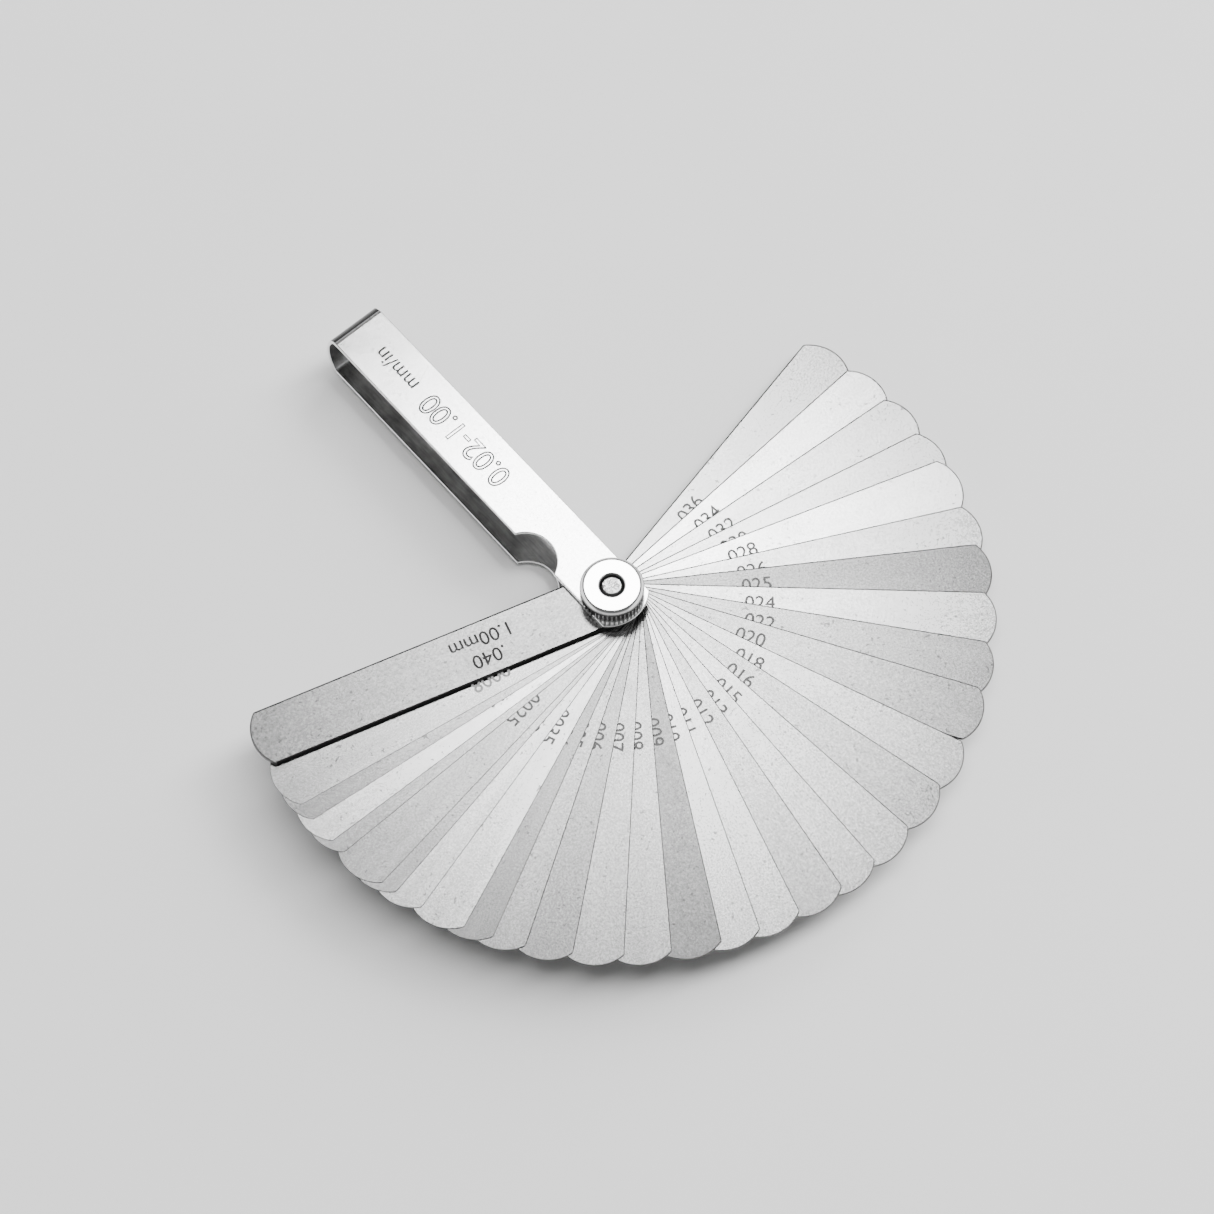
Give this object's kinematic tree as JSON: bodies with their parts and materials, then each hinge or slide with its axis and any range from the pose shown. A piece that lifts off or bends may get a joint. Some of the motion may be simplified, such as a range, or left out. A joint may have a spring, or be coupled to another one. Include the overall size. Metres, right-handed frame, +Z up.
{
  "type": "feeler gauge",
  "caption": "Feeler gauge: flat steel blades of stepped thickness fanned on one pivot post, in a U-folded steel handle with a round knurled lock nut and a finger notch.",
  "frame": {"origin": "on the pivot axis, at the underside of the post's flat head, which is the face the gauge stands on", "axes": "+Z up the pivot towards the lock nut; +X along the handle towards its bend; the fan opens anticlockwise from +X seen from above"},
  "size_m": [0.1723, 0.1649, 0.0209],
  "materials": {
    "blade_steel": "satin ground spring steel with a fine grain, a little darker on some blades than on others",
    "handle_steel": "bright rolled sheet steel, smooth outside and darker inside the fold",
    "nut_chrome": "bright plated top face and rounded shoulder over a straight knurl",
    "post_steel": "plain steel with a granular end face"
  },
  "bodies": {
    "handle": {"handle": "handle_steel", "pivot_post": "post_steel"},
    "lock_nut": {"lock_nut": "nut_chrome"},
    "blade_1_00mm": {"blade_1_00mm": "blade_steel"},
    "blade_0_02mm": {"blade_0_02mm": "blade_steel"},
    "blade_0_03mm": {"blade_0_03mm": "blade_steel"},
    "blade_0_04mm": {"blade_0_04mm": "blade_steel"},
    "blade_0_05mm": {"blade_0_05mm": "blade_steel"},
    "blade_0_06mm": {"blade_0_06mm": "blade_steel"},
    "blade_0_07mm": {"blade_0_07mm": "blade_steel"},
    "blade_0_08mm": {"blade_0_08mm": "blade_steel"},
    "blade_0_09mm": {"blade_0_09mm": "blade_steel"},
    "blade_0_10mm": {"blade_0_10mm": "blade_steel"},
    "blade_0_13mm": {"blade_0_13mm": "blade_steel"},
    "blade_0_15mm": {"blade_0_15mm": "blade_steel"},
    "blade_0_18mm": {"blade_0_18mm": "blade_steel"},
    "blade_0_20mm": {"blade_0_20mm": "blade_steel"},
    "blade_0_23mm": {"blade_0_23mm": "blade_steel"},
    "blade_0_25mm": {"blade_0_25mm": "blade_steel"},
    "blade_0_28mm": {"blade_0_28mm": "blade_steel"},
    "blade_0_30mm": {"blade_0_30mm": "blade_steel"},
    "blade_0_33mm": {"blade_0_33mm": "blade_steel"},
    "blade_0_38mm": {"blade_0_38mm": "blade_steel"},
    "blade_0_40mm": {"blade_0_40mm": "blade_steel"},
    "blade_0_45mm": {"blade_0_45mm": "blade_steel"},
    "blade_0_50mm": {"blade_0_50mm": "blade_steel"},
    "blade_0_55mm": {"blade_0_55mm": "blade_steel"},
    "blade_0_60mm": {"blade_0_60mm": "blade_steel"},
    "blade_0_63mm": {"blade_0_63mm": "blade_steel"},
    "blade_0_65mm": {"blade_0_65mm": "blade_steel"},
    "blade_0_70mm": {"blade_0_70mm": "blade_steel"},
    "blade_0_75mm": {"blade_0_75mm": "blade_steel"},
    "blade_0_80mm": {"blade_0_80mm": "blade_steel"},
    "blade_0_85mm": {"blade_0_85mm": "blade_steel"},
    "blade_0_90mm": {"blade_0_90mm": "blade_steel"}
  },
  "joints": [
    {"name": "nut_turn", "type": "hinge", "parent": "handle", "child": "lock_nut", "pos_m": [0, 0, 0.01665], "axis": [0, 0, 1], "range_deg": [0, 360]},
    {"name": "swing_1_00mm", "type": "hinge", "parent": "handle", "child": "blade_1_00mm", "pos_m": [0, 0, 0.01], "axis": [0, 0, 1], "range_deg": [-73.5, 286.5]},
    {"name": "swing_0_02mm", "type": "hinge", "parent": "handle", "child": "blade_0_02mm", "pos_m": [0, 0, 0.01], "axis": [0, 0, 1], "range_deg": [-81, 279]},
    {"name": "swing_0_03mm", "type": "hinge", "parent": "handle", "child": "blade_0_03mm", "pos_m": [0, 0, 0.01], "axis": [0, 0, 1], "range_deg": [-84, 276]},
    {"name": "swing_0_04mm", "type": "hinge", "parent": "handle", "child": "blade_0_04mm", "pos_m": [0, 0, 0.01], "axis": [0, 0, 1], "range_deg": [-88.5, 271.5]},
    {"name": "swing_0_05mm", "type": "hinge", "parent": "handle", "child": "blade_0_05mm", "pos_m": [0, 0, 0.01], "axis": [0, 0, 1], "range_deg": [-91, 269]},
    {"name": "swing_0_06mm", "type": "hinge", "parent": "handle", "child": "blade_0_06mm", "pos_m": [0, 0, 0.01], "axis": [0, 0, 1], "range_deg": [-98.5, 261.5]},
    {"name": "swing_0_07mm", "type": "hinge", "parent": "handle", "child": "blade_0_07mm", "pos_m": [0, 0, 0.01], "axis": [0, 0, 1], "range_deg": [-101, 259]},
    {"name": "swing_0_08mm", "type": "hinge", "parent": "handle", "child": "blade_0_08mm", "pos_m": [0, 0, 0.01], "axis": [0, 0, 1], "range_deg": [-105.5, 254.5]},
    {"name": "swing_0_09mm", "type": "hinge", "parent": "handle", "child": "blade_0_09mm", "pos_m": [0, 0, 0.01], "axis": [0, 0, 1], "range_deg": [-112.5, 247.5]},
    {"name": "swing_0_10mm", "type": "hinge", "parent": "handle", "child": "blade_0_10mm", "pos_m": [0, 0, 0.01], "axis": [0, 0, 1], "range_deg": [-117, 243]},
    {"name": "swing_0_13mm", "type": "hinge", "parent": "handle", "child": "blade_0_13mm", "pos_m": [0, 0, 0.01], "axis": [0, 0, 1], "range_deg": [-122, 238]},
    {"name": "swing_0_15mm", "type": "hinge", "parent": "handle", "child": "blade_0_15mm", "pos_m": [0, 0, 0.01], "axis": [0, 0, 1], "range_deg": [-129, 231]},
    {"name": "swing_0_18mm", "type": "hinge", "parent": "handle", "child": "blade_0_18mm", "pos_m": [0, 0, 0.01], "axis": [0, 0, 1], "range_deg": [-136.5, 223.5]},
    {"name": "swing_0_20mm", "type": "hinge", "parent": "handle", "child": "blade_0_20mm", "pos_m": [0, 0, 0.01], "axis": [0, 0, 1], "range_deg": [-143.5, 216.5]},
    {"name": "swing_0_23mm", "type": "hinge", "parent": "handle", "child": "blade_0_23mm", "pos_m": [0, 0, 0.01], "axis": [0, 0, 1], "range_deg": [-151, 209]},
    {"name": "swing_0_25mm", "type": "hinge", "parent": "handle", "child": "blade_0_25mm", "pos_m": [0, 0, 0.01], "axis": [0, 0, 1], "range_deg": [-157, 203]},
    {"name": "swing_0_28mm", "type": "hinge", "parent": "handle", "child": "blade_0_28mm", "pos_m": [0, 0, 0.01], "axis": [0, 0, 1], "range_deg": [-163.5, 196.5]},
    {"name": "swing_0_30mm", "type": "hinge", "parent": "handle", "child": "blade_0_30mm", "pos_m": [0, 0, 0.01], "axis": [0, 0, 1], "range_deg": [-171, 189]},
    {"name": "swing_0_33mm", "type": "hinge", "parent": "handle", "child": "blade_0_33mm", "pos_m": [0, 0, 0.01], "axis": [0, 0, 1], "range_deg": [-177.5, 182.5]},
    {"name": "swing_0_38mm", "type": "hinge", "parent": "handle", "child": "blade_0_38mm", "pos_m": [0, 0, 0.01], "axis": [0, 0, 1], "range_deg": [-185, 175]},
    {"name": "swing_0_40mm", "type": "hinge", "parent": "handle", "child": "blade_0_40mm", "pos_m": [0, 0, 0.01], "axis": [0, 0, 1], "range_deg": [-193.5, 166.5]},
    {"name": "swing_0_45mm", "type": "hinge", "parent": "handle", "child": "blade_0_45mm", "pos_m": [0, 0, 0.01], "axis": [0, 0, 1], "range_deg": [-201.5, 158.5]},
    {"name": "swing_0_50mm", "type": "hinge", "parent": "handle", "child": "blade_0_50mm", "pos_m": [0, 0, 0.01], "axis": [0, 0, 1], "range_deg": [-211, 149]},
    {"name": "swing_0_55mm", "type": "hinge", "parent": "handle", "child": "blade_0_55mm", "pos_m": [0, 0, 0.01], "axis": [0, 0, 1], "range_deg": [-219, 141]},
    {"name": "swing_0_60mm", "type": "hinge", "parent": "handle", "child": "blade_0_60mm", "pos_m": [0, 0, 0.01], "axis": [0, 0, 1], "range_deg": [-227.5, 132.5]},
    {"name": "swing_0_63mm", "type": "hinge", "parent": "handle", "child": "blade_0_63mm", "pos_m": [0, 0, 0.01], "axis": [0, 0, 1], "range_deg": [-236, 124]},
    {"name": "swing_0_65mm", "type": "hinge", "parent": "handle", "child": "blade_0_65mm", "pos_m": [0, 0, 0.01], "axis": [0, 0, 1], "range_deg": [-243, 117]},
    {"name": "swing_0_70mm", "type": "hinge", "parent": "handle", "child": "blade_0_70mm", "pos_m": [0, 0, 0.01], "axis": [0, 0, 1], "range_deg": [-252, 108]},
    {"name": "swing_0_75mm", "type": "hinge", "parent": "handle", "child": "blade_0_75mm", "pos_m": [0, 0, 0.01], "axis": [0, 0, 1], "range_deg": [-258, 102]},
    {"name": "swing_0_80mm", "type": "hinge", "parent": "handle", "child": "blade_0_80mm", "pos_m": [0, 0, 0.01], "axis": [0, 0, 1], "range_deg": [-266, 94]},
    {"name": "swing_0_85mm", "type": "hinge", "parent": "handle", "child": "blade_0_85mm", "pos_m": [0, 0, 0.01], "axis": [0, 0, 1], "range_deg": [-274, 86]},
    {"name": "swing_0_90mm", "type": "hinge", "parent": "handle", "child": "blade_0_90mm", "pos_m": [0, 0, 0.01], "axis": [0, 0, 1], "range_deg": [-282.5, 77.5]}
  ]
}
